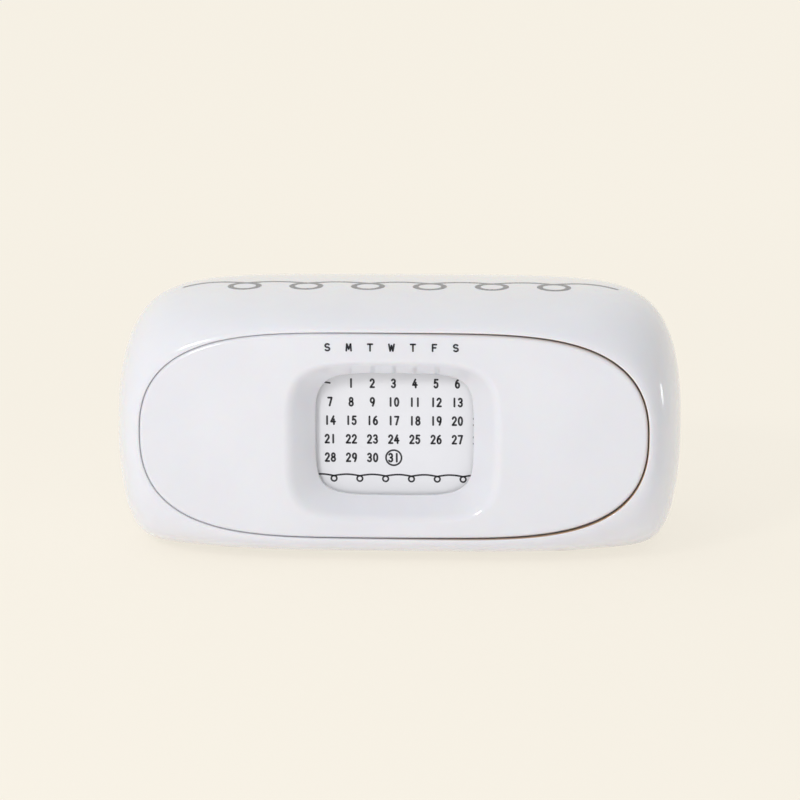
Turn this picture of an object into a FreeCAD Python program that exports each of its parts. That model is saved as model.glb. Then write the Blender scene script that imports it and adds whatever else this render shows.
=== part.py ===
import FreeCAD, Part
import math
import os

# Desk calendar with a drawer, a moulded pebble-shaped case about 200 mm wide.
# Origin on the desk under the middle of the case, +Z up, the drawer opens towards -Y.
# All sizes in millimetres.

# Case
CASE_WIDTH = 199.4
CASE_DEPTH = 104.0
CASE_TOP = 90.1             # highest point of the domed top
CASE_WAIST = 38.3           # height at which the case is widest
CASE_SINK = 3.0             # how far the rounded underside would bulge below its flat
CASE_TOP_POWERS = (9.6, 2.53)   # superellipse powers of the upper half, along X and Z
CASE_LOW_POWERS = (22.0, 1.8)   # and of the lower half, 2 is an ellipse
CASE_PLAN_POWER = 1.75      # how square the case is from front to back
CASE_WALL = 2.8
FOOT_STAND = 0.6            # the flat underside stands this far off the desk

# Drawer front and the opening it closes
FRONT_SIDE = 13.5           # from the case's widest point to the opening
FRONT_ABOVE = 8.7           # from the opening's highest point to the case's
FRONT_BELOW = 10.0          # from the desk to the opening's lowest point
FRONT_POWERS = (4.2, 2.43)
RIM_LAND = 0.5              # flat land round the opening
RIM_DEPTH = 6.0             # length of the opening's throat
SEAM = 0.5                  # gap all round between the drawer front and the case
FRONT_WALL = 2.4
FRONT_EDGE = 1.5            # rounding of the front's edge

# Window and the dished recess round it
WINDOW_HALF_WIDTH = 27.0
WINDOW_BORDER = 14.4        # from the front's highest and lowest points to the window
WINDOW_POWERS = (4.7, 4.7)
WINDOW_DROP = 1.4           # middle of the window below the middle of the front
DISH_DEPTH = 11.0           # from the face to the window's rim
DISH_SIDE = 8.4             # how far the recess spreads beyond the window sideways
DISH_RISE = 5.7             # and up and down
DISH_DROP = 0.5             # its outline's middle below the window's middle
DISH_POWERS = (4.4, 4.4)
DISH_LIP = 2.6              # rounding where the face turns into the recess
WINDOW_LAND = 1.0           # straight edge of the window behind the recess

# Date plate, 13 columns of numbers of which the window shows seven
COLUMN_PITCH = 7.26
COLUMNS = 13
COLUMNS_SHOWN = 7
FIRST_COLUMN_SHOWN = 5      # columns to the left of the window as the plate stands
PLATE_OFFSET = -0.35        # the shown columns stand this far off the window's middle
PLATE_MARGIN = 4.0          # blank strip beyond the outer columns
PLATE_LAP = 0.7             # the plate reaches this far past the window's edges
PLATE_THICK = 1.5
PLATE_CORNER = 11.0
PLATE_BEHIND_RIM = 1.4      # gap between the window's rim and the plate
PLATE_RUN = 0.25            # running clearance of the plate in its guides
SHIFT_LEFT = 1              # pitches that the plate can move towards -X
SHIFT_RIGHT = 5             # and towards +X
GUIDE_THICK = 1.4
GUIDE_LIP_HEIGHT = 1.4      # how far the lips reach over the plate's long edges
GUIDE_LIP_START = 34.0      # the lips begin this far from the window's middle
GUIDE_SIDE = 21.2           # from the guides' ends to the opening's sides
END_STOP_HEIGHT = 16.0      # of the posts that the plate's ends meet

# Drawer tray
TRAY_SIDE = 14.2            # the tray stays this far inside the opening's sides
TRAY_BELOW = 3.3            # above its lowest point
TRAY_ABOVE = 17.7           # and below its highest
TRAY_BEHIND = 7.05          # gap between the tray's back and the case's back wall
TRAY_WALL = 1.8
TRAY_CORNER = 18.0          # lower corners seen from the front
TRAY_BACK_CORNER = 9.0      # back corners seen from above
COVER_WALL = 2.0
COVER_INSET = 0.5           # the cover stands this far inside the drawer front's edge
TRAY_RAIL_GAP = 0.3

# Base plate with its rails, and the bosses that carry it
BASE_SIDE = 20.7            # from the case's widest point to the base plate's opening
BASE_ENDS = 22.0            # and from its front and back
BASE_STRAIGHT = 4.0         # half length of the straight stretch between two corners
BASE_THICK = 2.8
BASE_GAP = 0.2
RAIL_X = 38.0
RAIL_THICK = 2.4
RAIL_INSET = 1.0            # the rails end this far inside the base plate's edge
SKIRT_HEIGHT = 1.8          # ribs under the tray that run along the rails
SKIRT_THICK = 1.6
SKIRT_GAP = 0.35
STOP_THICK = 1.8            # stop blocks between the rails, and the lug under the tray
STOP_WIDTH = 16.0
STOP_GAP = 0.3              # left between the lug and a stop at either end of the travel
BOSS_SIDE = 11.0            # the bosses stand this far inside the base plate's opening
BOSS_ENDS = 10.0
BOSS_RADIUS = 3.2
BOSS_HEIGHT = 12.0
BOSS_WEB = 1.6

# Screws and feet
SCREW_RADIUS = 1.3
SCREW_HEAD_RADIUS = 2.2
SCREW_HEAD_HEIGHT = 1.5
SCREW_LENGTH = 7.0
SCREW_HOLE_GAP = 0.2
FRONT_BOSS_X = 45.0
FRONT_HEAD_GAP = 1.05       # between the screw heads and the plate's guides
FRONT_BOSS_RADIUS = 2.8
FOOT_RADIUS = 6.5
FOOT_SIDE = 23.0            # the feet stand this far inside the base plate's opening
FOOT_ENDS = 10.0
FOOT_RECESS = 0.8
FOOT_CHAMFER = 0.3

POINTS_ROUND = 48           # points of one section of the case
SECTIONS = 12               # sections of the case from front to back
INNER_SECTIONS = 8          # and of its plainer inner face
OVERLAP = 1.0               # spare length of a cutting tool
NEAR = 0.01                 # an edge this close to a plane lies in it

FRONT_Y = -CASE_DEPTH / 2
UNDERSIDE = FOOT_STAND
BASE_TOP = UNDERSIDE + BASE_THICK
FRONT_HALF_WIDTH = CASE_WIDTH / 2 - FRONT_SIDE      # half sizes of the opening in the case
FRONT_HALF_HEIGHT = (CASE_TOP - FRONT_ABOVE - FRONT_BELOW) / 2
FRONT_CENTRE = FRONT_BELOW + FRONT_HALF_HEIGHT
WINDOW_HALF_HEIGHT = FRONT_HALF_HEIGHT - WINDOW_BORDER
WINDOW_Z = FRONT_CENTRE - WINDOW_DROP
RIM_Y = FRONT_Y + DISH_DEPTH
PLATE_Y = RIM_Y + PLATE_BEHIND_RIM
COVER_Y = PLATE_Y + PLATE_THICK + PLATE_RUN
TRAY_Y = COVER_Y + COVER_WALL
TRAY_BACK = CASE_DEPTH / 2 - CASE_WALL - TRAY_BEHIND
TRAY_LENGTH = TRAY_BACK - TRAY_Y
TRAY_WIDTH = 2 * (FRONT_HALF_WIDTH - TRAY_SIDE)
TRAY_BOTTOM = FRONT_BELOW + TRAY_BELOW
TRAY_HEIGHT = 2 * FRONT_HALF_HEIGHT - TRAY_BELOW - TRAY_ABOVE
PLATE_HEIGHT = 2 * (WINDOW_HALF_HEIGHT + PLATE_LAP)
PLATE_CENTRE = PLATE_OFFSET - (FIRST_COLUMN_SHOWN + COLUMNS_SHOWN / 2 - COLUMNS / 2) * COLUMN_PITCH
PLATE_HALF = COLUMNS * COLUMN_PITCH / 2 + PLATE_MARGIN
PLATE_LEFT = PLATE_CENTRE - PLATE_HALF - SHIFT_LEFT * COLUMN_PITCH
PLATE_RIGHT = PLATE_CENTRE + PLATE_HALF + SHIFT_RIGHT * COLUMN_PITCH
GUIDE_END = FRONT_HALF_WIDTH - GUIDE_SIDE
GUIDE_REACH = PLATE_HEIGHT / 2 + PLATE_RUN + GUIDE_THICK
FRONT_BOSS_Z = WINDOW_DROP + GUIDE_REACH + FRONT_HEAD_GAP + SCREW_HEAD_RADIUS
BASE_HALF_WIDTH = CASE_WIDTH / 2 - BASE_SIDE
BASE_HALF_DEPTH = CASE_DEPTH / 2 - BASE_ENDS
BASE_CORNER = BASE_HALF_DEPTH - BASE_STRAIGHT
BOSS_X = BASE_HALF_WIDTH - BOSS_SIDE
BOSS_Y = BASE_HALF_DEPTH - BOSS_ENDS
FOOT_X = BASE_HALF_WIDTH - FOOT_SIDE
FOOT_Y = BASE_HALF_DEPTH - FOOT_ENDS
RAIL_TOP = TRAY_BOTTOM - TRAY_RAIL_GAP
RAIL_END = BASE_HALF_DEPTH - BASE_GAP - RAIL_INSET
SKIRT_BOTTOM = TRAY_BOTTOM - SKIRT_HEIGHT
LUG_BACK = RAIL_END - STOP_THICK - STOP_GAP     # back of the lug under the tray
TRAVEL = LUG_BACK - STOP_THICK + RAIL_END - STOP_THICK - STOP_GAP


def superellipse(angle, half_width, half_height, powers):
    """The point at this angle of the curve (x / half_width) ** n + (z / half_height) ** m = 1."""
    n, m = powers
    c, s = math.cos(angle), math.sin(angle)
    total = abs(c) ** n + abs(s) ** m
    return half_width * c * total ** (-1 / n), half_height * s * total ** (-1 / m)


def front_point(angle, inset):
    x, z = superellipse(angle, FRONT_HALF_WIDTH - inset, FRONT_HALF_HEIGHT - inset, FRONT_POWERS)
    return x, FRONT_CENTRE + z


def waist_point(angle, inset):
    half_width = CASE_WIDTH / 2 - inset
    if math.sin(angle) >= 0:
        x, z = superellipse(angle, half_width, CASE_TOP - CASE_WAIST - inset, CASE_TOP_POWERS)
    else:
        depth = CASE_WAIST - UNDERSIDE + CASE_SINK - inset
        x, z = superellipse(angle, half_width, depth, CASE_LOW_POWERS)
    return x, CASE_WAIST + z


def chord_steps(points):
    """Running length along the closed polygon of the points, one value more than there are points."""
    steps = [0.0]
    for point, following in zip(points, points[1:] + points[:1]):
        steps.append(steps[-1] + (following - point).Length)
    return steps


def closed_curve(points, steps):
    """A smooth closed curve that passes the points after these lengths."""
    curve = Part.BSplineCurve()
    curve.interpolate(Points=points, PeriodicFlag=True, Parameters=steps)
    return Part.Wire(curve.toShape())


def outline(half_width, half_height, powers, centre_z, y):
    """A closed superellipse that stands in the plane y."""
    points = []
    for i in range(POINTS_ROUND):
        x, z = superellipse(2 * math.pi * i / POINTS_ROUND, half_width, half_height, powers)
        points.append(FreeCAD.Vector(x, y, centre_z + z))
    return closed_curve(points, chord_steps(points))


def front_wire(y, inset):
    return outline(FRONT_HALF_WIDTH - inset, FRONT_HALF_HEIGHT - inset, FRONT_POWERS, FRONT_CENTRE, y)


def case_points(y, swell, inset):
    """Points of the case's section, from the rim's outline at swell 0 to the waist's at swell 1."""
    points = []
    for i in range(POINTS_ROUND):
        turn = 2 * math.pi * i / POINTS_ROUND
        x0, z0 = front_point(turn, inset - RIM_LAND)
        x1, z1 = waist_point(turn, inset)
        points.append(FreeCAD.Vector(x0 + (x1 - x0) * swell, y, z0 + (z1 - z0) * swell))
    return points


def pebble(inset, sections, ruled):
    """The case's outer form, or the same form smaller all round by inset."""
    half_depth = CASE_DEPTH / 2 - inset
    steps = chord_steps(case_points(0, 1, inset))
    wires = []
    for i in range(sections + 1):
        along = -math.cos(math.pi * i / sections)
        swell = (1 - abs(along) ** CASE_PLAN_POWER) ** (1 / CASE_PLAN_POWER)
        wires.append(closed_curve(case_points(half_depth * along, swell, inset), steps))
    return Part.makeLoft(wires, True, ruled)


def front_prism(y0, y1, inset):
    face = Part.Face(front_wire(y0, inset))
    return face.extrude(FreeCAD.Vector(0, y1 - y0, 0))


def block(x0, x1, y0, y1, z0, z1):
    corner = FreeCAD.Vector(x0, y0, z0)
    return Part.makeBox(x1 - x0, y1 - y0, z1 - z0, corner)


def rounded_rectangle(width, height, corner, centre_x, centre_z, y):
    """A rounded rectangle that stands in the plane y."""
    plan = rounded_plan(width, height, corner, 0)
    plan.rotate(FreeCAD.Vector(0, 0, 0), FreeCAD.Vector(1, 0, 0), 90)
    plan.translate(FreeCAD.Vector(centre_x, y, centre_z))
    return plan


def rounded_plan(width, depth, corner, z):
    """A rounded rectangle that lies at height z."""
    a, b, r = width / 2, depth / 2, corner
    k = r * (1 - math.sqrt(0.5))
    corners = [(1, 1), (-1, 1), (-1, -1), (1, -1)]
    edges = []
    for i, (sx, sy) in enumerate(corners):
        along_x = FreeCAD.Vector(sx * (a - r), sy * b, z)
        along_y = FreeCAD.Vector(sx * a, sy * (b - r), z)
        middle = FreeCAD.Vector(sx * (a - k), sy * (b - k), z)
        first, last = (along_y, along_x) if sx * sy > 0 else (along_x, along_y)
        edges.append(Part.Arc(first, middle, last).toShape())
        nx, ny = corners[(i + 1) % 4]
        if nx == sx:
            following = FreeCAD.Vector(nx * a, ny * (b - r), z)
        else:
            following = FreeCAD.Vector(nx * (a - r), ny * b, z)
        edges.append(Part.makeLine(last, following))
    return Part.Wire(edges)


def plan_slab(width, depth, corner, z0, z1):
    face = Part.Face(rounded_plan(width, depth, corner, z0))
    return face.extrude(FreeCAD.Vector(0, 0, z1 - z0))


def upright_cylinder(radius, x, y, z0, z1):
    return Part.makeCylinder(radius, z1 - z0, FreeCAD.Vector(x, y, z0))


def level_cylinder(radius, x, z, y0, y1):
    return Part.makeCylinder(radius, y1 - y0, FreeCAD.Vector(x, y0, z), FreeCAD.Vector(0, 1, 0))


def corners_of(x, y):
    return [(sx * x, sy * y) for sx in (-1, 1) for sy in (-1, 1)]


def case_hollow():
    """The space inside the case, from the back of the front rim to the back wall."""
    behind_rim = block(-CASE_WIDTH, CASE_WIDTH, FRONT_Y + RIM_DEPTH, CASE_DEPTH, BASE_TOP, 2 * CASE_TOP)
    return pebble(CASE_WALL, INNER_SECTIONS, True).common(behind_rim)


def case_boss(x, y):
    """A screw boss with a web that ties it to the side wall."""
    side = math.copysign(1, x)
    x0, x1 = sorted((x, side * CASE_WIDTH / 2))
    web = block(x0, x1, y - BOSS_WEB / 2, y + BOSS_WEB / 2, BASE_TOP + OVERLAP, BASE_TOP + BOSS_HEIGHT)
    web = web.common(pebble(CASE_WALL / 2, INNER_SECTIONS, True))
    boss = upright_cylinder(BOSS_RADIUS, x, y, BASE_TOP, BASE_TOP + BOSS_HEIGHT).fuse(web)
    return boss.cut(screw_pilot(x, y))


def screw_pilot(x, y):
    return upright_cylinder(SCREW_RADIUS, x, y, BASE_TOP - OVERLAP,
                            UNDERSIDE + SCREW_HEAD_HEIGHT + SCREW_LENGTH)


def case_shell():
    below = block(-CASE_WIDTH, CASE_WIDTH, -CASE_DEPTH, CASE_DEPTH, UNDERSIDE - CASE_WIDTH, UNDERSIDE)
    shell = pebble(0, SECTIONS, False).cut(below).cut(case_hollow())
    shell = shell.cut(front_prism(FRONT_Y - OVERLAP, FRONT_Y + RIM_DEPTH + OVERLAP, 0))
    shell = shell.cut(plan_slab(2 * BASE_HALF_WIDTH, 2 * BASE_HALF_DEPTH, BASE_CORNER,
                                UNDERSIDE - OVERLAP, BASE_TOP + OVERLAP))
    for x, y in corners_of(BOSS_X, BOSS_Y):
        shell = shell.fuse(case_boss(x, y))
    return shell.removeSplitter()


def base_plate():
    plate = plan_slab(2 * (BASE_HALF_WIDTH - BASE_GAP), 2 * (BASE_HALF_DEPTH - BASE_GAP),
                      BASE_CORNER - BASE_GAP, UNDERSIDE, BASE_TOP)
    root = BASE_TOP - OVERLAP
    for x in (-RAIL_X, RAIL_X):
        plate = plate.fuse(block(x - RAIL_THICK / 2, x + RAIL_THICK / 2, -RAIL_END, RAIL_END, root, RAIL_TOP))
    for y0, y1 in ((-RAIL_END, STOP_THICK - RAIL_END), (RAIL_END - STOP_THICK, RAIL_END)):
        plate = plate.fuse(block(-STOP_WIDTH / 2, STOP_WIDTH / 2, y0, y1, root, RAIL_TOP))
    for x, y in corners_of(BOSS_X, BOSS_Y):
        plate = plate.cut(upright_cylinder(SCREW_RADIUS + SCREW_HOLE_GAP, x, y,
                                           UNDERSIDE - OVERLAP, BASE_TOP + OVERLAP))
        plate = plate.cut(upright_cylinder(SCREW_HEAD_RADIUS + SCREW_HOLE_GAP, x, y,
                                           UNDERSIDE - OVERLAP, UNDERSIDE + SCREW_HEAD_HEIGHT))
    for x, y in corners_of(FOOT_X, FOOT_Y):
        plate = plate.cut(upright_cylinder(FOOT_RADIUS + BASE_GAP, x, y,
                                           UNDERSIDE - OVERLAP, UNDERSIDE + FOOT_RECESS))
    return plate.removeSplitter()


def screw(tip, head):
    """A pan-head screw from the point of its shank to the top of its head."""
    axis = head - tip
    axis.normalize()
    shank = Part.makeCylinder(SCREW_RADIUS, (head - tip).Length - SCREW_HEAD_HEIGHT / 2, tip, axis)
    head_start = head - axis * SCREW_HEAD_HEIGHT
    cap = Part.makeCylinder(SCREW_HEAD_RADIUS, SCREW_HEAD_HEIGHT, head_start, axis)
    return shank.fuse(cap).removeSplitter()


def window_wire(y, grow):
    return outline(WINDOW_HALF_WIDTH + grow, WINDOW_HALF_HEIGHT + grow, WINDOW_POWERS, WINDOW_Z, y)


def dish(grow, start, finish):
    """The recess round the window as a solid, grown all round by grow."""
    rim = outline(WINDOW_HALF_WIDTH + DISH_SIDE + grow, WINDOW_HALF_HEIGHT + DISH_RISE + grow,
                  DISH_POWERS, WINDOW_Z - DISH_DROP, start)
    return Part.makeLoft([rim, window_wire(finish, grow)], True, True)


def drawer_front():
    body = front_prism(FRONT_Y, COVER_Y, SEAM)
    edge = [e for e in body.Edges if abs(e.BoundBox.YMax - FRONT_Y) < NEAR]
    body = body.makeFillet(FRONT_EDGE, edge)
    body = body.cut(front_prism(FRONT_Y + FRONT_WALL, COVER_Y + OVERLAP, SEAM + FRONT_WALL))
    dish_wall = dish(FRONT_WALL, FRONT_Y + FRONT_EDGE, RIM_Y)
    body = body.fuse(dish_wall)
    body = body.cut(dish(0, FRONT_Y, RIM_Y - WINDOW_LAND))
    opening = Part.Face(window_wire(RIM_Y - WINDOW_LAND, 0))
    body = body.cut(opening.extrude(FreeCAD.Vector(0, WINDOW_LAND + OVERLAP, 0)))
    reach = WINDOW_HALF_WIDTH + DISH_SIDE + OVERLAP
    lip = [e for e in body.Edges if abs(e.BoundBox.YMin - FRONT_Y) < NEAR
           and e.BoundBox.YLength < NEAR and e.BoundBox.XMax < reach]
    body = body.makeFillet(DISH_LIP, lip)
    for x in (-FRONT_BOSS_X, FRONT_BOSS_X):
        for z in (FRONT_CENTRE - FRONT_BOSS_Z, FRONT_CENTRE + FRONT_BOSS_Z):
            boss = level_cylinder(FRONT_BOSS_RADIUS, x, z, FRONT_Y + FRONT_WALL / 2, COVER_Y)
            body = body.fuse(boss)
            body = body.cut(level_cylinder(SCREW_RADIUS, x, z, TRAY_Y - SCREW_LENGTH, COVER_Y + OVERLAP))
    return body.removeSplitter()


def plate_guides():
    """The channels on the front cover in which the date plate slides, and the posts at its ends."""
    low, high = WINDOW_Z - PLATE_HEIGHT / 2, WINDOW_Z + PLATE_HEIGHT / 2
    front, root = PLATE_Y - PLATE_RUN, COVER_Y + COVER_WALL / 2
    guides = []
    for edge, out in ((low, -1), (high, 1)):
        near = edge + out * PLATE_RUN
        far = near + out * GUIDE_THICK
        guides.append(block(-GUIDE_END, GUIDE_END, front, root, min(near, far), max(near, far)))
        over = edge - out * GUIDE_LIP_HEIGHT
        for x0, x1 in ((-GUIDE_END, -GUIDE_LIP_START), (GUIDE_LIP_START, GUIDE_END)):
            guides.append(block(x0, x1, front - GUIDE_THICK, front, min(over, far), max(over, far)))
    for end, out in ((PLATE_LEFT, -1), (PLATE_RIGHT, 1)):
        near = end + out * PLATE_RUN
        x0, x1 = sorted((near, near + out * GUIDE_THICK))
        guides.append(block(x0, x1, front, root, WINDOW_Z - END_STOP_HEIGHT / 2, WINDOW_Z + END_STOP_HEIGHT / 2))
    return guides


def tray_skirts():
    """The ribs that keep the tray straight between the rails, and the lug that meets the stops."""
    root = TRAY_BOTTOM + TRAY_WALL / 2
    inner = RAIL_X - RAIL_THICK / 2 - SKIRT_GAP
    back = TRAY_BACK - TRAY_BACK_CORNER
    skirts = []
    for x0, x1 in ((-inner, SKIRT_THICK - inner), (inner - SKIRT_THICK, inner)):
        skirts.append(block(x0, x1, TRAY_Y, back, SKIRT_BOTTOM, root))
    skirts.append(block(-STOP_WIDTH / 2, STOP_WIDTH / 2, LUG_BACK - STOP_THICK, LUG_BACK,
                        SKIRT_BOTTOM, root))
    return skirts


def drawer_tray():
    cover = front_prism(COVER_Y, TRAY_Y, SEAM + COVER_INSET)
    half = TRAY_WIDTH / 2
    top = TRAY_BOTTOM + TRAY_HEIGHT
    body = block(-half, half, TRAY_Y - COVER_WALL / 2, TRAY_BACK, TRAY_BOTTOM, top)
    long_edges = [e for e in body.Edges
                  if e.BoundBox.YLength > TRAY_LENGTH / 2 and e.BoundBox.ZMax < TRAY_BOTTOM + OVERLAP]
    body = body.makeFillet(TRAY_CORNER, long_edges)
    back_edges = [e for e in body.Edges if e.BoundBox.YMin > TRAY_BACK - NEAR
                  and e.BoundBox.ZMin < top - OVERLAP]
    body = body.makeFillet(TRAY_BACK_CORNER, back_edges)
    hollow = block(-half + TRAY_WALL, half - TRAY_WALL, TRAY_Y, TRAY_BACK - TRAY_WALL,
                   TRAY_BOTTOM + TRAY_WALL, top + OVERLAP)
    long_edges = [e for e in hollow.Edges
                  if e.BoundBox.YLength > TRAY_LENGTH / 2 and e.BoundBox.ZMax < TRAY_BOTTOM + TRAY_WALL + OVERLAP]
    hollow = hollow.makeFillet(TRAY_CORNER - TRAY_WALL, long_edges)
    back_edges = [e for e in hollow.Edges if e.BoundBox.YMin > TRAY_BACK - TRAY_WALL - NEAR
                  and e.BoundBox.ZMin < top - OVERLAP]
    hollow = hollow.makeFillet(TRAY_BACK_CORNER - TRAY_WALL, back_edges)
    tray = body.cut(hollow).fuse(cover)
    for guide in plate_guides() + tray_skirts():
        tray = tray.fuse(guide)
    for x in (-FRONT_BOSS_X, FRONT_BOSS_X):
        for z in (FRONT_CENTRE - FRONT_BOSS_Z, FRONT_CENTRE + FRONT_BOSS_Z):
            tray = tray.cut(level_cylinder(SCREW_RADIUS + SCREW_HOLE_GAP, x, z,
                                           COVER_Y - OVERLAP, TRAY_Y + OVERLAP))
    return tray.removeSplitter()


def date_plate():
    edge = rounded_rectangle(2 * PLATE_HALF, PLATE_HEIGHT, PLATE_CORNER, PLATE_CENTRE, WINDOW_Z, PLATE_Y)
    return Part.Face(edge).extrude(FreeCAD.Vector(0, PLATE_THICK, 0))


def foot(x, y):
    """A round pad that is let into the base plate."""
    pad = upright_cylinder(FOOT_RADIUS, x, y, 0, UNDERSIDE + FOOT_RECESS)
    rim = [e for e in pad.Edges if e.BoundBox.ZMax < NEAR]
    return pad.makeChamfer(FOOT_CHAMFER, rim)


def base_screws():
    screws = []
    for x, y in corners_of(BOSS_X, BOSS_Y):
        head = FreeCAD.Vector(x, y, UNDERSIDE)
        tip = FreeCAD.Vector(x, y, UNDERSIDE + SCREW_HEAD_HEIGHT + SCREW_LENGTH - OVERLAP)
        screws.append(screw(tip, head))
    return Part.makeCompound(screws)


def front_screws():
    screws = []
    for x in (-FRONT_BOSS_X, FRONT_BOSS_X):
        for z in (FRONT_CENTRE - FRONT_BOSS_Z, FRONT_CENTRE + FRONT_BOSS_Z):
            tip = FreeCAD.Vector(x, TRAY_Y - SCREW_LENGTH + OVERLAP, z)
            head = FreeCAD.Vector(x, TRAY_Y + SCREW_HEAD_HEIGHT, z)
            screws.append(screw(tip, head))
    return Part.makeCompound(screws)


def write_parts():
    os.makedirs("parts", exist_ok=True)
    pieces = {
        "case_shell": case_shell(),
        "base_plate": base_plate(),
        "base_screws": base_screws(),
        "drawer_front": drawer_front(),
        "drawer_tray": drawer_tray(),
        "front_screws": front_screws(),
        "date_plate": date_plate(),
    }
    for name, x, y in (("front_left", -FOOT_X, -FOOT_Y), ("front_right", FOOT_X, -FOOT_Y),
                       ("rear_left", -FOOT_X, FOOT_Y), ("rear_right", FOOT_X, FOOT_Y)):
        pieces["foot_" + name] = foot(x, y)
    for name, shape in pieces.items():
        shape.exportStep(os.path.join("parts", name + ".step"))


write_parts()
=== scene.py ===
import math

import bmesh
import bpy
from mathutils import Matrix, Vector
from mathutils.bvhtree import BVHTree


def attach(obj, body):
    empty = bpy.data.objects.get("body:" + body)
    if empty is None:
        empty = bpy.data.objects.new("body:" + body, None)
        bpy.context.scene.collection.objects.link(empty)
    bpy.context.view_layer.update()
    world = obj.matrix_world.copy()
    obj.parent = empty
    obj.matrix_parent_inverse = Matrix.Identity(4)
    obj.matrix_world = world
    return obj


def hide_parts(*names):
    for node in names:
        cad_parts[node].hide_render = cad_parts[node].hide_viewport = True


# Desk calendar with a drawer. The frame is in metres. The sizes of the object are in millimetres,
# those of finishes, floor, lamps and camera in metres.

MM = 0.001

# Case, as the CAD node case_shell
CASE_WIDTH = 199.4
CASE_DEPTH = 104.0
CASE_TOP = 90.1
CASE_WAIST = 38.3
CASE_SINK = 3.0
CASE_TOP_POWERS = (9.6, 2.53)
CASE_LOW_POWERS = (22.0, 1.8)
CASE_PLAN_POWER = 1.75
CASE_WALL = 2.8
UNDERSIDE = 0.6
UNDERSIDE_EDGE = 1.2        # how softly the rounded sides turn into the flat underside
RIM_LAND = 0.5              # flat rim between the case's round and the opening
RIM_DEPTH = 6.0
RIM_EDGE = 0.45             # rounding of the opening's edge
RIM_STEPS = 6
BASE_TOP = 3.4
BASE_HALF_WIDTH = 79.0
BASE_HALF_DEPTH = 30.0
BASE_CORNER = 26.0
CUT_OVER = 1.0              # how far a cutter reaches past what it cuts
BOSS_X = 68.0
BOSS_Y = 20.0
BOSS_RADIUS = 3.2
BOSS_HOLE = 1.3
BOSS_HEIGHT = 12.0
BOSS_WEB = 1.6              # thickness of the web between a boss and the wall
WEB_STEPS = 8
WEB_START = 0.8             # share of the boss's radius at which the web starts
WEB_END = 0.25              # share of the wall that it runs into

# Drawer front, as the CAD node drawer_front
FRONT_HALF_WIDTH = 86.2
FRONT_HALF_HEIGHT = 35.7
FRONT_CENTRE = 45.7
FRONT_POWERS = (4.2, 2.43)
SEAM = 0.31                 # gap round the drawer front at the middle of its width
SEAM_LESS = 0.28            # how much narrower the gap is at the left end
SEAM_MORE = 0.40            # and how fast it widens towards the right, before the end itself
SEAM_END = 1.0              # share of that widening that is lost again at the right end
SEAM_END_POWER = 8          # the higher, the closer to the end
PANEL_RISE = -0.03          # how high the drawer front hangs in its opening
FRONT_WALL = 2.4
FRONT_EDGE = 1.5            # rounding of the drawer front's edge
FRONT_EDGE_STEPS = 12
GAP_SHADE_START = 0.2            # depths between which the opening's edge is painted warm brown, as painted shade in the seam
GAP_SHADE_END = 2.0
GAP_SHADE_LEFT = (-0.03, 0.07)   # metres across in which the painted seam shade sets in, from plain white at the left end
FRONT_DEPTH = 14.15         # from the face to the cover behind the date plate
WINDOW_HALF_WIDTH = 27.0
WINDOW_HALF_HEIGHT = 21.3
WINDOW_POWERS = (4.7, 4.7)
WINDOW_DROP = 1.4
WINDOW_EDGE = 0.3
DISH_DEPTH = 11.0
DISH_SIDE = 8.4
DISH_RISE = 5.7
DISH_DROP = 0.5
DISH_POWERS = (4.4, 4.4)
DISH_LIP = 0.22             # share of the slope that the rounding at its top takes
DISH_FOOT = 0.04            # share at which the slope's straight part starts
WINDOW_STEPS = 4
SLOPE_STEPS = 16
LIP_STEPS = 12
WINDOW_LAND = 1.0
FRONT_BOSS_X = 45.0
FRONT_BOSS_Z = 28.3
FRONT_BOSS_RADIUS = 2.8

# Print on the date plate and on the drawer front
COLUMN_PITCH = 7.26
ROW_PITCH = 6.5
COLUMNS = 13
ROWS = 6
FIRST_COLUMN_SHOWN = 5
COLUMNS_SHOWN = 7
LAST_DATE = 31
FIRST_ROW_RISE = 17.4       # height of the first row above the window's middle
SHOWN_OFFSET = -0.35        # middle of the shown columns off the window's middle
PLATE_FACE = -39.6
DIGIT_SIZE = (1.42, 2.75)
DIGIT_STEP = 2.05           # from one digit of a date to the next
DIGIT_STROKE = 0.66
RING_RADIUS = 2.66
RING_STROKE = 0.6
LETTER_SIZE = (1.75, 2.25)
LETTER_STROKE = 0.6
LETTER_PITCH = 7.18
LETTER_RISE = 30.75         # height of the weekday letters above the middle of the front
PRINT_LIFT = 0.03           # height of the print over its surface
PRINT_SINK = 0.02           # and how far it is keyed into it
SAME_POINT = 1e-5           # points closer than this are one
SHARP_TURN = math.radians(50)   # a stroke that turns by more is split there
CAP_TURNS = [math.radians(angle) for angle in (18, 36, 54, 72)]     # the round end of a stroke
ARC_STEPS = 14
ROUND = 24                  # steps of a full round in a sign
RING_STEPS = 48
LOOP_RADIUS = 0.95
LOOP_PITCH = 9.2
LOOP_ARCH = 0.55            # how far the line rises between two loops
ARCH_STEPS = 13
LOOP_STEPS = 32

# Looped line along the top of the case
TOP_LINE_HALF = 76.0
TOP_LINE_Y = -3.0
TOP_LINE_PITCH = 21.0
TOP_LINE_RADIUS = 5.0
TOP_LINE_ARCH = 3.0
TOP_LINE_STROKE = 2.0
TOP_LINE_STEP = 1.0         # distance between its points, so that it follows the case

# Screws and feet, as the CAD nodes of these names
SCREW_RADIUS = 1.3
SCREW_HEAD_RADIUS = 2.2
SCREW_HEAD_HEIGHT = 1.5
SCREW_TOTAL = 7.5
SCREW_POINT = 1.6
SCREW_POINTS_ROUND = 32
SCREW_TURN = 0.7            # how far the first screw's cross is turned, in radians
SCREW_TURN_STEP = 1.9       # and each next one from the one before
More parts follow.
